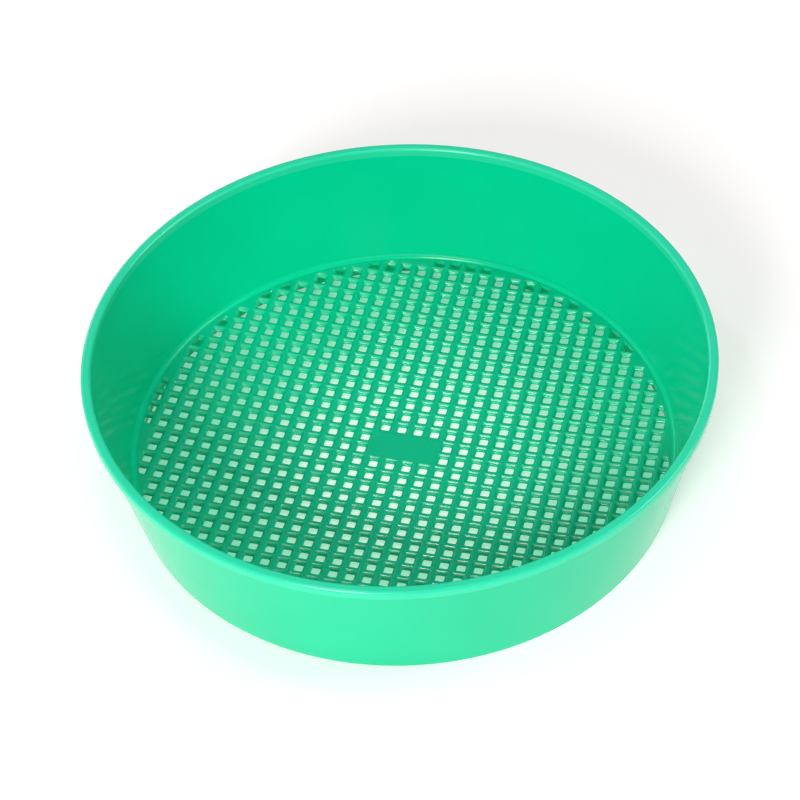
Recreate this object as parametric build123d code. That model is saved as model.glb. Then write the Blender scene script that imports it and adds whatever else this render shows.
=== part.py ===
from build123d import *
import math
import os

# Soil sieve: a shallow round bowl moulded in one shot of green polypropylene. A thickened lip
# runs round the open top, the wall tapers in to a narrow foot, and the floor is a dished grid
# of square funnel-shaped pockets with a small blank plate in the middle.
#
# Frame: millimetres, +Z up out of the open top. The origin is the centre of the foot's circle,
# on the surface that the sieve stands on. The ribs of the grid run along X and Y.

# --- driving dimensions -------------------------------------------------------------------
RIM_RADIUS = 105.0  # outermost edge of the lip
HEIGHT = 50.0  # ground to the top of the lip
FOOT_RADIUS = 93.2  # outer radius of the wall where it meets the ground

LIP_WIDTH = 3.4  # across the top of the lip
LIP_DEPTH = 3.2  # height of the lip
LIP_OVERHANG = 1.5  # how far the lip stands out past the wall
LIP_TOP_ROUND = 1.0
LIP_UNDER_ROUND = 0.5

WALL_THICKNESS = 1.9  # measured along the radius
FOOT_HEIGHT = 3.6  # the foot ring runs from the ground to here
FOOT_ROUND = 0.7  # outer bottom corner
FOOT_INNER_ROUND = 0.3

FLOOR_CLEARANCE = 0.9  # ground to the underside of the floor at its middle
FLOOR_THICKNESS = 1.5
FLOOR_RISE = 4.0  # how much higher the floor's edge lies than its middle
MESH_RADIUS = 91.2  # edge of the grid, where the plain border starts
POCKET_FIELD_RADIUS = 90.6  # pockets are cut off at this circle
COVE_HEIGHT = 1.4  # how far the border's cove climbs the wall
COVE_RADIUS = 2.2

PITCH = 5.79  # centre to centre of the pockets, along X and along Y
POCKET_TOP_X = 4.8  # size of a pocket at the floor's upper face: the ribs along Y are 1 mm wide
POCKET_TOP_Y = 5.25  # there, and the ribs along X come to a narrower crest
POCKET_BOTTOM = 3.0  # side of the square hole at the floor's underside
SMALLEST_CUT = 0.4  # a pocket whose centre is nearer than this to the circle is left solid
CUT_MARGIN = 0.35  # how far the cutting tools reach past the faces they cut

PLATE_CELLS_X = 4  # the blank plate takes the place of 4 by 2 pockets
PLATE_CELLS_Y = 2
PLATE_EDGE = 0.7  # from the plate's edge to the middle of the rib round it

FACET_SIDE = 4 * PITCH  # the dish is made of square flat facets, 4 by 4 pockets each


def outer_radius(z):
    """Outer radius of the tapered wall at height z."""
    wall_top = HEIGHT - LIP_DEPTH
    return FOOT_RADIUS + (RIM_RADIUS - LIP_OVERHANG - FOOT_RADIUS) * z / wall_top


def inner_radius(z):
    """Inner radius of the tapered wall at height z."""
    return outer_radius(z) - WALL_THICKNESS


def ring(half_section):
    """Solid turned about Z from a closed half section drawn as (radius, height)."""
    return revolve(Plane.XZ * half_section, Axis.Z)


def corner(section, radius, height):
    """The vertex of a half section that lies at (radius, height)."""
    return section.vertices().sort_by_distance((radius, height, 0))[0]


# --- rim lip ------------------------------------------------------------------------------
def make_rim_lip():
    low = HEIGHT - LIP_DEPTH
    inside = RIM_RADIUS - LIP_WIDTH
    section = make_face(
        Polyline((inside, low), (RIM_RADIUS, low), (RIM_RADIUS, HEIGHT), (inside, HEIGHT), close=True)
    )
    top_corners = [corner(section, RIM_RADIUS, HEIGHT), corner(section, inside, HEIGHT)]
    section = fillet(top_corners, LIP_TOP_ROUND)
    section = fillet(corner(section, RIM_RADIUS, low), LIP_UNDER_ROUND)
    return ring(section)


# --- tapered wall and the foot that it stands on -------------------------------------------
def wall_section(low, high):
    return make_face(
        Polyline(
            (inner_radius(low), low),
            (outer_radius(low), low),
            (outer_radius(high), high),
            (inner_radius(high), high),
            close=True,
        )
    )


def make_side_wall():
    return ring(wall_section(FOOT_HEIGHT, HEIGHT - LIP_DEPTH))


def make_foot_ring():
    section = wall_section(0, FOOT_HEIGHT)
    section = fillet(corner(section, outer_radius(0), 0), FOOT_ROUND)
    section = fillet(corner(section, inner_radius(0), 0), FOOT_INNER_ROUND)
    return ring(section)


# --- dished floor -------------------------------------------------------------------------
def dish_rise(distance):
    """Rise of a true parabolic dish at this distance from its middle, along one axis."""
    return FLOOR_RISE * (distance / MESH_RADIUS) ** 2


def facet_rise(distance):
    """The same rise on the flat facets, which meet the true dish along their edges."""
    near_edge = (math.floor(distance / FACET_SIDE - 0.5) + 0.5) * FACET_SIDE
    share = (distance - near_edge) / FACET_SIDE
    return (1 - share) * dish_rise(near_edge) + share * dish_rise(near_edge + FACET_SIDE)


def floor_bottom(x, y):
    """Height of the floor's underside at (x, y). The rises along X and Y add up."""
    return FLOOR_CLEARANCE + facet_rise(x) + facet_rise(y)


def make_floor_facet(x, y):
    """One flat facet of the floor as a block, with its low corner at (x, y)."""
    corners = [(x, y), (x + FACET_SIDE, y), (x + FACET_SIDE, y + FACET_SIDE), (x, y + FACET_SIDE)]
    underside = Polyline(*[(u, v, floor_bottom(u, v)) for u, v in corners], close=True)
    return extrude(make_face(underside), amount=FLOOR_THICKNESS, dir=(0, 0, 1))


def make_floor_disc():
    """The whole dished floor out to the border, before any pocket is cut."""
    count = 2 * math.ceil(MESH_RADIUS / FACET_SIDE - 0.5) + 1
    starts = [(k - count / 2) * FACET_SIDE for k in range(count)]
    facets = [make_floor_facet(x, y) for x in starts for y in starts]
    return (facets[0] + facets[1:]) & Cylinder(MESH_RADIUS, HEIGHT)


def make_floor_border():
    """Plain ring between the grid and the wall, with a cove that runs up the wall."""
    low = FLOOR_CLEARANCE + FLOOR_RISE
    high = low + FLOOR_THICKNESS
    cove_top = high + COVE_HEIGHT
    cove_start = (MESH_RADIUS, high)
    cove_end = (inner_radius(cove_top), cove_top)
    outline = [
        Polyline(cove_start, (MESH_RADIUS, low), (inner_radius(low), low), cove_end),
        RadiusArc(cove_end, cove_start, COVE_RADIUS),
    ]
    return ring(make_face(outline))


def pocket_centres():
    """Centre of every pocket inside the round field, leaving out the blank plate."""
    reach = math.ceil(POCKET_FIELD_RADIUS / PITCH)
    steps = [(k + 0.5) * PITCH for k in range(-reach, reach)]
    half_plate_x = PLATE_CELLS_X * PITCH / 2
    half_plate_y = PLATE_CELLS_Y * PITCH / 2
    centres = []
    for x in steps:
        for y in steps:
            under_plate = abs(x) < half_plate_x and abs(y) < half_plate_y
            if not under_plate and math.hypot(x, y) < POCKET_FIELD_RADIUS - SMALLEST_CUT:
                centres.append((x, y))
    return centres


def funnel_section(top_width):
    """Upright trapezoid through the middle of a pocket. Height 0 is the floor's underside."""
    slope = (top_width - POCKET_BOTTOM) / 2 / FLOOR_THICKNESS
    low_half = POCKET_BOTTOM / 2 - slope * CUT_MARGIN
    high_half = top_width / 2 + slope * CUT_MARGIN
    low = -CUT_MARGIN
    high = FLOOR_THICKNESS + CUT_MARGIN
    return make_face(
        Polyline((-low_half, low), (low_half, low), (high_half, high), (-high_half, high), close=True)
    )


def make_pocket_tool():
    """Funnel that cuts one pocket. The origin is where its axis meets the floor's underside."""
    seen_along_y = extrude(Plane.XZ * funnel_section(POCKET_TOP_X), amount=PITCH, both=True)
    seen_along_x = extrude(Plane.YZ * funnel_section(POCKET_TOP_Y), amount=PITCH, both=True)
    return seen_along_y & seen_along_x


def make_pockets():
    """Cutting tools for all pockets. Those that cross the field's circle are trimmed to it."""
    tool = make_pocket_tool()
    field = Cylinder(POCKET_FIELD_RADIUS, HEIGHT)
    tools = []
    for x, y in pocket_centres():
        placed = Pos(x, y, floor_bottom(x, y)) * tool
        far_corner = math.hypot(abs(x) + POCKET_TOP_X / 2, abs(y) + POCKET_TOP_Y / 2)
        if far_corner > POCKET_FIELD_RADIUS - CUT_MARGIN:
            placed = placed & field
        tools.extend(placed.solids())
    return tools


def make_plate_window():
    """Upright block the size of the blank plate."""
    return Box(PLATE_CELLS_X * PITCH - 2 * PLATE_EDGE, PLATE_CELLS_Y * PITCH - 2 * PLATE_EDGE, HEIGHT)


floor_disc = make_floor_disc()
plate_window = make_plate_window()

nodes = {
    "rim_lip": make_rim_lip(),
    "side_wall": make_side_wall(),
    "foot_ring": make_foot_ring(),
    "floor_border": make_floor_border(),
    "sieve_mesh": floor_disc - plate_window - make_pockets(),
    "centre_plate": floor_disc & plate_window,
}

os.makedirs("parts", exist_ok=True)
for name, shape in nodes.items():
    export_step(shape, f"parts/{name}.step")
    print(name, "volume", round(shape.volume), "mm3")
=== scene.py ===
import math

import bmesh
import bpy
from mathutils import Matrix, Vector
from mathutils.geometry import delaunay_2d_cdt


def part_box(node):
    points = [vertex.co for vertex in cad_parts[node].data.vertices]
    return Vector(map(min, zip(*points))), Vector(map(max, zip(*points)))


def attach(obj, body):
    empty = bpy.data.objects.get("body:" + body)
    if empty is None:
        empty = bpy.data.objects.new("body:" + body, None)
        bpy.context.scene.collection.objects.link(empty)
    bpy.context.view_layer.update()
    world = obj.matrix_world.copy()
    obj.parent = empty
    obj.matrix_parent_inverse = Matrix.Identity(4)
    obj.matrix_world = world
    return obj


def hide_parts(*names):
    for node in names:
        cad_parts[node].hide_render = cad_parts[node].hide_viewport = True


# Soil sieve, moulded in one shot of green polypropylene. Each CAD node is replaced by a finer
# piece of the same shape. Metres, in the frame of the CAD: +Z up, origin on the ground under
# the middle of the sieve, and the ribs of the grid along X and Y.

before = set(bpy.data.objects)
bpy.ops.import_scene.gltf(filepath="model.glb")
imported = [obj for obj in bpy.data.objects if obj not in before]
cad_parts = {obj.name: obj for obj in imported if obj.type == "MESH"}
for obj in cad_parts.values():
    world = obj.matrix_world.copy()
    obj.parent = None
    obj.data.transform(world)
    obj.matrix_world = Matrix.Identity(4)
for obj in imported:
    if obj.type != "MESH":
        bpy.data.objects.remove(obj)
scene = bpy.context.scene
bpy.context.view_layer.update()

# --- dimensions ---------------------------------------------------------------------------
MM = 0.001
lip_low, lip_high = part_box("rim_lip")
foot_low, foot_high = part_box("foot_ring")
plate_low, plate_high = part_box("centre_plate")

RIM_RADIUS = min(lip_high.x, lip_high.y, -lip_low.x, -lip_low.y)
HEIGHT = lip_high.z
LIP_BASE = lip_low.z
FOOT_TOP = foot_high.z
LIP_WIDTH = 3.4 * MM
LIP_OVERHANG = 1.5 * MM
LIP_TOP_ROUND = 1.0 * MM
LIP_UNDER_ROUND = 0.5 * MM

FOOT_RADIUS = 93.2 * MM
FOOT_ROUND = 0.7 * MM
FOOT_INNER_ROUND = 0.3 * MM
WALL_THICKNESS = 1.9 * MM

FLOOR_CLEARANCE = 0.9 * MM
FLOOR_THICKNESS = 1.5 * MM
FLOOR_RISE = 4.0 * MM
MESH_RADIUS = 91.2 * MM
POCKET_FIELD_RADIUS = 90.6 * MM
COVE_HEIGHT = 1.4 * MM
COVE_ROUND = 2.2 * MM

PITCH = 5.79 * MM
POCKET_TOP_X = 4.8 * MM
POCKET_TOP_Y = 5.4 * MM
POCKET_THROAT = 2.95 * MM
POCKET_BOTTOM = 2.9 * MM
THROAT_HEIGHT = 0.85 * MM
POCKET_CORNER = 0.45 * MM
POCKET_LEDGE = 0.3 * MM
CREST_SHARE = 0.3
PLATE_HALF_X = plate_high.x
PLATE_HALF_Y = plate_high.y
SMALLEST_CUT = 0.4 * MM

LATHE_SEGMENTS = 288
CORNER_SEGMENTS = 2
CLIPPED_POCKET_POINTS = 28
CLIP_GRID_STEPS = 4
CLIP_GRID_REACH = 0.47
CLIP_MARGIN = 0.1 * MM
PLATE_STEPS_X = 12
PLATE_STEPS_Y = 6
SHARP_ANGLE = math.radians(40)
TINY = 1e-9

TABLE_HALF = 3.0
LIGHT_DISTANCE = 1.8
LARGE_LIGHT = 0.8


def outer_radius(z):
    """Outer radius of the tapered wall at height z."""
    return FOOT_RADIUS + (RIM_RADIUS - LIP_OVERHANG - FOOT_RADIUS) * z / LIP_BASE


def inner_radius(z):
    """Inner radius of the tapered wall at height z."""
    return outer_radius(z) - WALL_THICKNESS


def floor_underside(x, y):
    """Height of the dished floor's underside at (x, y)."""
    return FLOOR_CLEARANCE + FLOOR_RISE * (x * x + y * y) / MESH_RADIUS**2


# --- mesh helpers -------------------------------------------------------------------------
def rounded(corners, segments=6):
    """Closed outline through (x, y, radius) corners, with an arc at each rounded corner."""
    points = []
    for index, (x, y, radius) in enumerate(corners):
        here = Vector((x, y))
        if radius == 0:
            points.append(here)
            continue
        to_last = (Vector(corners[index - 1][:2]) - here).normalized()
        to_next = (Vector(corners[(index + 1) % len(corners)][:2]) - here).normalized()
        half_angle = to_last.angle(to_next) / 2
        middle = here + (to_last + to_next).normalized() * (radius / math.sin(half_angle))
        start = here + to_last * (radius / math.tan(half_angle)) - middle
        end = here + to_next * (radius / math.tan(half_angle)) - middle
        for step in range(segments + 1):
            spoke = start.lerp(end, step / segments).normalized()
            points.append(middle + spoke * radius)
    return points


def hollow_arc(start, end, radius, segments=8):
    """Points between two outline points, on an arc that bulges away from the outline's left."""
    chord = end - start
    across = Vector((-chord.y, chord.x)).normalized()
    middle = (start + end) / 2 + across * math.sqrt(radius**2 - (chord.length / 2) ** 2)
    spokes = [(start - middle).lerp(end - middle, step / segments) for step in range(1, segments)]
    return [middle + spoke.normalized() * radius for spoke in spokes]


def lathe(name, outline):
    """Closed ring turned about Z from an anticlockwise outline of (radius, height) points."""
    verts = []
    for turn in range(LATHE_SEGMENTS):
        angle = 2 * math.pi * turn / LATHE_SEGMENTS
        verts += [(r * math.cos(angle), r * math.sin(angle), z) for r, z in outline]
    count = len(outline)
    faces = []
    for turn in range(LATHE_SEGMENTS):
        here = turn * count
        there = (turn + 1) % LATHE_SEGMENTS * count
        for a in range(count):
            b = (a + 1) % count
            faces.append((here + a, there + a, there + b, here + b))
    mesh = bpy.data.meshes.new(name)
    mesh.from_pydata(verts, [], faces)
    return mesh


def add_piece(name, mesh, node, material):
    """Puts a finished piece in the place of its CAD node."""
    mesh.materials.append(material)
    mesh.shade_smooth()
    mesh.set_sharp_from_angle(angle=SHARP_ANGLE)
    piece = bpy.data.objects.new(name, mesh)
    scene.collection.objects.link(piece)
    even = piece.modifiers.new("even_normals", "WEIGHTED_NORMAL")
    even.keep_sharp = True
    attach(piece, "root")
    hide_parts(node)
    return piece


# --- materials ----------------------------------------------------------------------------
def link(tree, source, source_socket, target, target_socket):
    """Wires an output socket of one shader node to an input socket of another."""
    tree.links.new(source.outputs[source_socket], target.inputs[target_socket])


def noise(tree, scale, detail):
    """Noise in the object's own space."""
    coordinates = tree.nodes.new("ShaderNodeTexCoord")
    texture = tree.nodes.new("ShaderNodeTexNoise")
    texture.inputs["Scale"].default_value = scale
    texture.inputs["Detail"].default_value = detail
    link(tree, coordinates, "Object", texture, "Vector")
    return texture


CLOUD_SCALE = 35  # features per metre, like the others
GLOSS_SCALE = 90
WAVE_SCALE = 22
WAVE_DEPTH = 0.25 * MM


def moulded_plastic(name, deep, light, shine, rough_low, rough_high, grain, grain_depth):
    """Green polypropylene: clouded colour, uneven gloss, slow waves and a fine mould grain."""
    material = bpy.data.materials.new(name)
    material.use_nodes = True
    tree = material.node_tree
    shader = tree.nodes["Principled BSDF"]
    shader.inputs["IOR"].default_value = 1.49
    shader.inputs["Specular IOR Level"].default_value = shine

    clouds = noise(tree, CLOUD_SCALE, 3)
    tint = tree.nodes.new("ShaderNodeValToRGB")
    tint.color_ramp.elements[0].position = 0.3
    tint.color_ramp.elements[1].position = 0.7
    tint.color_ramp.elements[0].color = (*deep, 1)
    tint.color_ramp.elements[1].color = (*light, 1)
    link(tree, clouds, "Fac", tint, "Fac")
    link(tree, tint, "Color", shader, "Base Color")

    gloss = noise(tree, GLOSS_SCALE, 4)
    spread = tree.nodes.new("ShaderNodeMapRange")
    spread.inputs["To Min"].default_value = rough_low
    spread.inputs["To Max"].default_value = rough_high
    link(tree, gloss, "Fac", spread, "Value")
    link(tree, spread, "Result", shader, "Roughness")

    fine = noise(tree, grain, 1)
    fine_bump = tree.nodes.new("ShaderNodeBump")
    fine_bump.inputs["Distance"].default_value = grain_depth
    fine_bump.inputs["Strength"].default_value = 0.6
    link(tree, fine, "Fac", fine_bump, "Height")
    waves = noise(tree, WAVE_SCALE, 1)
    wave_bump = tree.nodes.new("ShaderNodeBump")
    wave_bump.inputs["Distance"].default_value = WAVE_DEPTH
    wave_bump.inputs["Strength"].default_value = 0.5
    link(tree, waves, "Fac", wave_bump, "Height")
    link(tree, wave_bump, "Normal", fine_bump, "Normal")
    link(tree, fine_bump, "Normal", shader, "Normal")
    return material


DEEP_GREEN = (0.0, 0.585, 0.293)
LIGHT_GREEN = (0.0, 0.615, 0.313)
# Painted shade: the grid and the blank plate get a deeper green than the wall, though all is one plastic,
# to stand in for the shade on the floor.
MESH_PAINTED_SHADE_DEEP = (0.0, 0.50, 0.255)
MESH_PAINTED_SHADE_LIGHT = (0.0, 0.53, 0.275)
# Painted light: the lip gets a lighter green than the wall, though it is the same plastic, to stand in
# for the light on its top.
LIP_PAINTED_LIT_DEEP = (0.02, 0.67, 0.38)
LIP_PAINTED_LIT_LIGHT = (0.03, 0.70, 0.40)
lip_plastic = moulded_plastic("lip_plastic", LIP_PAINTED_LIT_DEEP, LIP_PAINTED_LIT_LIGHT, 0.4, 0.20, 0.28, 600, 0.006 * MM)
wall_plastic = moulded_plastic("wall_plastic", DEEP_GREEN, LIGHT_GREEN, 0.18, 0.14, 0.22, 450, 0.006 * MM)
mesh_plastic = moulded_plastic("mesh_plastic", MESH_PAINTED_SHADE_DEEP, MESH_PAINTED_SHADE_LIGHT, 0.38, 0.12, 0.18, 900, 0.003 * MM)
plate_plastic = moulded_plastic("plate_plastic", MESH_PAINTED_SHADE_DEEP, MESH_PAINTED_SHADE_LIGHT, 0.3, 0.34, 0.46, 1400, 0.012 * MM)


# --- lip, wall, foot and border -----------------------------------------------------------
lip_inside = RIM_RADIUS - LIP_WIDTH
lip_outline = rounded(
    [
        (lip_inside, LIP_BASE, 0),
        (RIM_RADIUS, LIP_BASE, LIP_UNDER_ROUND),
        (RIM_RADIUS, HEIGHT, LIP_TOP_ROUND),
        (lip_inside, HEIGHT, LIP_TOP_ROUND),
    ]
)
add_piece("rim_lip_fine", lathe("rim_lip_fine", lip_outline), "rim_lip", lip_plastic)

wall_outline = [
    Vector((inner_radius(FOOT_TOP), FOOT_TOP)),
    Vector((outer_radius(FOOT_TOP), FOOT_TOP)),
    Vector((outer_radius(LIP_BASE), LIP_BASE)),
    Vector((inner_radius(LIP_BASE), LIP_BASE)),
]
add_piece(
    "side_wall_fine", lathe("side_wall_fine", wall_outline), "side_wall", wall_plastic
)

foot_outline = rounded(
    [
        (inner_radius(0), 0, FOOT_INNER_ROUND),
        (outer_radius(0), 0, FOOT_ROUND),
        (outer_radius(FOOT_TOP), FOOT_TOP, 0),
        (inner_radius(FOOT_TOP), FOOT_TOP, 0),
    ]
)
add_piece(
    "foot_ring_fine", lathe("foot_ring_fine", foot_outline), "foot_ring", wall_plastic
)

border_low = FLOOR_CLEARANCE + FLOOR_RISE
border_high = border_low + FLOOR_THICKNESS
cove_top = border_high + COVE_HEIGHT
cove_end = Vector((inner_radius(cove_top), cove_top))
cove_start = Vector((MESH_RADIUS, border_high))
border_outline = [
    cove_start,
    Vector((MESH_RADIUS, border_low)),
    Vector((inner_radius(border_low), border_low)),
    cove_end,
]
border_outline += hollow_arc(cove_end, cove_start, COVE_ROUND)
add_piece(
    "floor_border_fine",
    lathe("floor_border_fine", border_outline),
    "floor_border",
    wall_plastic,
)


# --- grid of pockets ----------------------------------------------------------------------
def softened(line):
    """The line's inner corners, each replaced by three points of a short curve."""
    points = []
    for before, corner, after in zip(line, line[1:], line[2:]):
        start = corner.lerp(before, CREST_SHARE)
        end = corner.lerp(after, CREST_SHARE)
        points += [start, (start + 2 * corner + end) / 4, end]
    return points


def pocket_profile():
    """(half side along X, half side along Y, height) down one pocket's wall, from the top."""
    lines = []
    for opening in (POCKET_TOP_X / 2, POCKET_TOP_Y / 2):
        line = [
            Vector((opening + POCKET_LEDGE, FLOOR_THICKNESS)),
            Vector((opening, FLOOR_THICKNESS)),
            Vector((POCKET_THROAT / 2, THROAT_HEIGHT)),
            Vector((POCKET_BOTTOM / 2, 0)),
            Vector((POCKET_BOTTOM / 2 + POCKET_LEDGE, 0)),
        ]
        lines.append(softened(line))
    return [(along_x.x, along_y.x, along_x.y) for along_x, along_y in zip(*lines)]


def pocket_centres():
    """Centre of every pocket inside the round field, leaving out the blank plate."""
    reach = math.ceil(POCKET_FIELD_RADIUS / PITCH)
    steps = [(k + 0.5) * PITCH for k in range(-reach, reach)]
    centres = []
    for x in steps:
        for y in steps:
            under_plate = abs(x) < PLATE_HALF_X and abs(y) < PLATE_HALF_Y
            if not under_plate and math.hypot(x, y) < POCKET_FIELD_RADIUS - SMALLEST_CUT:
                centres.append(Vector((x, y)))
    return centres


def pocket_ring(centre, half_x, half_y):
    """Rectangle with rounded corners, anticlockwise."""
    corners = [
        (-half_x, -half_y, POCKET_CORNER),
        (half_x, -half_y, POCKET_CORNER),
        (half_x, half_y, POCKET_CORNER),
        (-half_x, half_y, POCKET_CORNER),
    ]
    return [centre + point for point in rounded(corners, segments=CORNER_SEGMENTS)]


def reach_inside(start, direction, centre, halves):
    """How far a ray from start runs before it meets the pocket's sides or the field's circle."""
    distances = []
    for axis in (0, 1):
        if abs(direction[axis]) > TINY:
            side = centre[axis] + math.copysign(halves[axis], direction[axis])
            distances.append((side - start[axis]) / direction[axis])
    along = start.dot(direction)
    distances.append(-along + math.sqrt(along**2 + POCKET_FIELD_RADIUS**2 - start.length_squared))
    return min(distances)


def clipped_rings(centre, profile):
    """Rings of a pocket that the field's circle cuts, all seen from one point inside it."""
    counts = range(2 * CLIP_GRID_STEPS + 1)
    offsets = [(k / CLIP_GRID_STEPS - 1) * POCKET_BOTTOM * CLIP_GRID_REACH for k in counts]
    grid = [centre + Vector((u, v)) for u in offsets for v in offsets]
    inside = [point for point in grid if point.length < POCKET_FIELD_RADIUS - CLIP_MARGIN]
    if not inside:
        return []
    start = sum(inside, Vector((0, 0))) / len(inside)
    rings = []
    for half_x, half_y, _ in profile:
        ring = []
        for k in range(CLIPPED_POCKET_POINTS):
            angle = 2 * math.pi * (k + 0.5) / CLIPPED_POCKET_POINTS
            direction = Vector((math.cos(angle), math.sin(angle)))
            reach = reach_inside(start, direction, centre, (half_x, half_y))
            ring.append(start + direction * reach)
        rings.append(ring)
    return rings


def pocket_rings(centre, profile):
    """One ring of plan points for each step of the profile."""
    widest_x, widest_y, _ = profile[0]
    far_corner = math.hypot(abs(centre.x) + widest_x, abs(centre.y) + widest_y)
    if far_corner > POCKET_FIELD_RADIUS:
        return clipped_rings(centre, profile)
    return [pocket_ring(centre, half_x, half_y) for half_x, half_y, _ in profile]


def skin(plan, loops):
    """Triangles that fill the plan inside the first loop and leave out all the other loops."""
    edges = [(loop[k], loop[(k + 1) % len(loop)]) for loop in loops for k in range(len(loop))]
    owner = {v: number for number, loop in enumerate(loops) for v in loop}
    result = delaunay_2d_cdt(plan, edges, [], 0, TINY)
    triangles = [tuple(result[3][v][0] for v in face) for face in result[2]]
    kept = []
    for triangle in triangles:
        owners = {owner[v] for v in triangle}
        if owners == {0} or len(owners) > 1:
            kept.append(triangle)
    return kept


def make_grid_mesh():
    """The dished floor with all its pockets, as one closed mesh."""
    profile = pocket_profile()
    verts = []
    faces = []

    def add_ring(ring, height):
        first = len(verts)
        verts.extend((x, y, floor_underside(x, y) + height) for x, y in ring)
        return list(range(first, len(verts)))

    def add_wall(upper, lower):
        for k in range(len(upper)):
            following = (k + 1) % len(upper)
            faces.append((upper[k], upper[following], lower[following], lower[k]))

    turns = [2 * math.pi * k / LATHE_SEGMENTS for k in range(LATHE_SEGMENTS)]
    circle = [Vector((math.cos(turn), math.sin(turn))) * MESH_RADIUS for turn in turns]
    window = [
        Vector((-PLATE_HALF_X, -PLATE_HALF_Y)),
        Vector((PLATE_HALF_X, -PLATE_HALF_Y)),
        Vector((PLATE_HALF_X, PLATE_HALF_Y)),
        Vector((-PLATE_HALF_X, PLATE_HALF_Y)),
    ]
    top_loops = []
    bottom_loops = []
    for ring in (circle, window):
        top_loops.append(add_ring(ring, FLOOR_THICKNESS))
        bottom_loops.append(add_ring(ring, 0))
        add_wall(top_loops[-1], bottom_loops[-1])
    for centre in pocket_centres():
        rings = pocket_rings(centre, profile)
        if not rings:
            continue
        loops = [add_ring(ring, step[-1]) for ring, step in zip(rings, profile)]
        for upper, lower in zip(loops, loops[1:]):
            add_wall(upper, lower)
        top_loops.append(loops[0])
        bottom_loops.append(loops[-1])
    for loops in (top_loops, bottom_loops):
        names = [v for loop in loops for v in loop]
        place = {v: k for k, v in enumerate(names)}
        plan = [Vector(verts[v][:2]) for v in names]
        local = [[place[v] for v in loop] for loop in loops]
        faces.extend(tuple(names[k] for k in face) for face in skin(plan, local))

    mesh = bpy.data.meshes.new("sieve_mesh_fine")
    mesh.from_pydata(verts, [], faces)
    build = bmesh.new()
    build.from_mesh(mesh)
    bmesh.ops.recalc_face_normals(build, faces=build.faces)
    build.to_mesh(mesh)
    build.free()
    return mesh


add_piece("sieve_mesh_fine", make_grid_mesh(), "sieve_mesh", mesh_plastic)


# --- blank plate --------------------------------------------------------------------------
def make_plate_mesh():
    """The plate as a slab that follows the dish."""
    build = bmesh.new()
    layers = []
    for height in (0, FLOOR_THICKNESS):
        rows = []
        for j in range(PLATE_STEPS_Y + 1):
            y = (2 * j / PLATE_STEPS_Y - 1) * PLATE_HALF_Y
            xs = [(2 * i / PLATE_STEPS_X - 1) * PLATE_HALF_X for i in range(PLATE_STEPS_X + 1)]
            rows.append([build.verts.new((x, y, floor_underside(x, y) + height)) for x in xs])
        layers.append(rows)
    for rows in layers:
        for j in range(PLATE_STEPS_Y):
            for i in range(PLATE_STEPS_X):
                build.faces.new((rows[j][i], rows[j][i + 1], rows[j + 1][i + 1], rows[j + 1][i]))
    border = [(i, 0) for i in range(PLATE_STEPS_X)]
    border += [(PLATE_STEPS_X, j) for j in range(PLATE_STEPS_Y)]
    border += [(i, PLATE_STEPS_Y) for i in range(PLATE_STEPS_X, 0, -1)]
    border += [(0, j) for j in range(PLATE_STEPS_Y, 0, -1)]
    for k, (i, j) in enumerate(border):
        u, v = border[(k + 1) % len(border)]
        low, high = layers
        build.faces.new((low[j][i], low[v][u], high[v][u], high[j][i]))
    bmesh.ops.recalc_face_normals(build, faces=build.faces)
    mesh = bpy.data.meshes.new("centre_plate_fine")
    build.to_mesh(mesh)
    build.free()
    return mesh


add_piece("centre_plate_fine", make_plate_mesh(), "centre_plate", plate_plastic)


# --- table, light and camera --------------------------------------------------------------
def add_table(reach, glow):
    """White table with a painted glow: its emission is brighter under the middle of the sieve and green
    towards the sieve's wall, standing in for light through the holes and the plastic. glow is a list of
    (share of the reach, colour)."""
    mesh = bpy.data.meshes.new("table")
    half = TABLE_HALF
    corners = [(-half, -half, 0), (half, -half, 0), (half, half, 0), (-half, half, 0)]
    mesh.from_pydata(corners, [], [(0, 1, 2, 3)])
    table = bpy.data.objects.new("table", mesh)
    scene.collection.objects.link(table)
    material = bpy.data.materials.new("table_painted_glow")
    material.use_nodes = True
    tree = material.node_tree
    shader = tree.nodes["Principled BSDF"]
    shader.inputs["Base Color"].default_value = (0.82, 0.82, 0.82, 1)
    shader.inputs["Roughness"].default_value = 0.9
    shader.inputs["Specular IOR Level"].default_value = 0
    shader.inputs["Emission Strength"].default_value = 1
    coordinates = tree.nodes.new("ShaderNodeTexCoord")
    distance = tree.nodes.new("ShaderNodeVectorMath")
    distance.operation = "LENGTH"
    share = tree.nodes.new("ShaderNodeMapRange")
    share.inputs["From Max"].default_value = reach
    ramp = tree.nodes.new("ShaderNodeValToRGB")
    stops = ramp.color_ramp.elements
    while len(stops) < len(glow):
        stops.new(1)
    for stop, (position, color) in zip(stops, glow):
        stop.position = position
        stop.color = (*color, 1)
    link(tree, coordinates, "Object", distance, "Vector")
    link(tree, distance, "Value", share, "Value")
    link(tree, share, "Result", ramp, "Fac")
    link(tree, ramp, "Color", shader, "Emission Color")
    mesh.materials.append(material)


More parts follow.
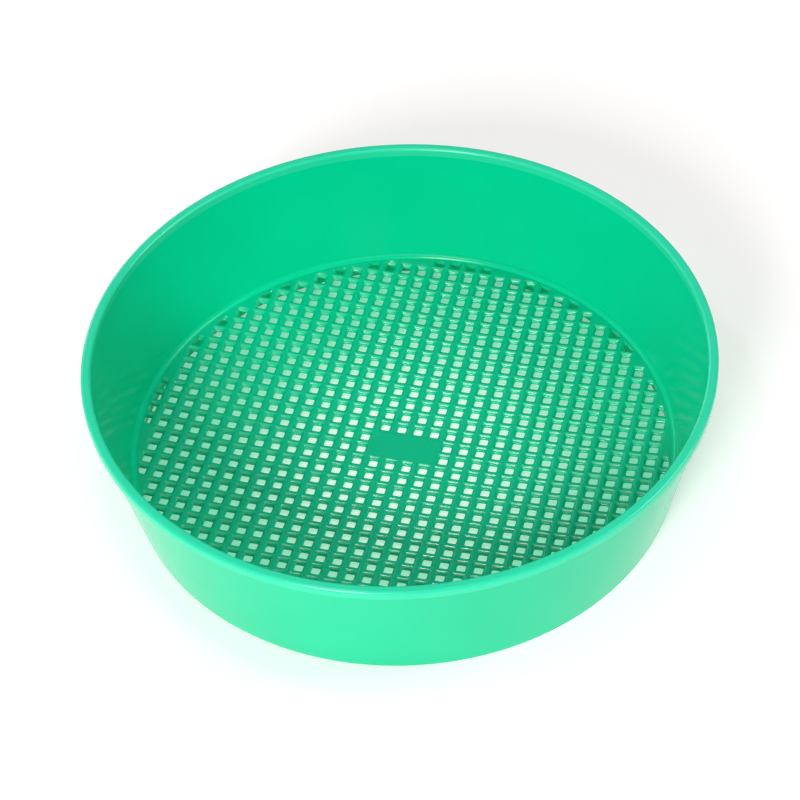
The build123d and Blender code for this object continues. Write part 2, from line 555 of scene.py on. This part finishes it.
def add_softbox(name, azimuth, elevation, distance, size, power):
    """Square area light aimed at the middle of the sieve. Azimuth 0 is in front, and 90 at +X."""
    light = bpy.data.lights.new(name, "AREA")
    light.shape = "SQUARE"
    light.size = size
    light.energy = power
    lamp = bpy.data.objects.new(name, light)
    turn = math.radians(azimuth)
    rise = math.radians(elevation)
    level = distance * math.cos(rise)
    lamp.location = (level * math.sin(turn), -level * math.cos(turn), distance * math.sin(rise))
    aim = Vector((0, 0, HEIGHT / 2)) - lamp.location
    lamp.rotation_euler = aim.to_track_quat("-Z", "Y").to_euler()
    scene.collection.objects.link(lamp)


def add_camera():
    """Pinhole at the photograph's viewing angle and distance."""
    forward = Vector((-0.19768, 0.67044, -0.71514)).normalized()
    up = Vector((-0.15026, 0.70019, 0.69796))
    right = forward.cross(up).normalized()
    up = right.cross(forward)
    data = bpy.data.cameras.new("camera")
    data.sensor_width = 36
    data.lens = 114.84
    camera = bpy.data.objects.new("camera", data)
    turn = Matrix((right, up, -forward)).transposed().to_4x4()
    camera.matrix_world = Matrix.Translation((0.16928, -0.57566, 0.63971)) @ turn
    scene.collection.objects.link(camera)
    scene.camera = camera


def add_world(strength):
    """Even white light from all round."""
    world = bpy.data.worlds.new("studio")
    world.use_nodes = True
    background = world.node_tree.nodes["Background"]
    background.inputs["Color"].default_value = (1, 1, 1, 1)
    background.inputs["Strength"].default_value = strength
    scene.world = world


# Painted light: the table's emission is brighter under the middle of the sieve and tinted green towards
# the sieve's wall, standing in for light that comes through the holes and the plastic. Beyond the foot it
# glows evenly. Each entry is a share of the foot's radius and a colour.
TABLE_GLOW = [
    (0.0, (0.58, 0.58, 0.55)),
    (0.32, (0.50, 0.52, 0.49)),
    (0.7, (0.20, 0.42, 0.33)),
    (0.96, (0.14, 0.38, 0.30)),
    (1.0, (0.35, 0.32, 0.32)),
]
add_table(FOOT_RADIUS, TABLE_GLOW)
add_world(0.2)
add_softbox("front", -6, 29, LIGHT_DISTANCE, 0.5, 24.5)
add_softbox("right", 108, 35, LIGHT_DISTANCE, LARGE_LIGHT, 11)
add_softbox("left_low", 270, 15, LIGHT_DISTANCE, LARGE_LIGHT, 4)
add_softbox("back_left_low", 225, 20, LIGHT_DISTANCE, LARGE_LIGHT, 6)
add_softbox("top", 0, 85, LIGHT_DISTANCE, LARGE_LIGHT, 3)
add_softbox("overhead", -38.7, 75.7, 0.494, 0.05, 0.2)
add_camera()
scene.view_settings.view_transform = "Standard"
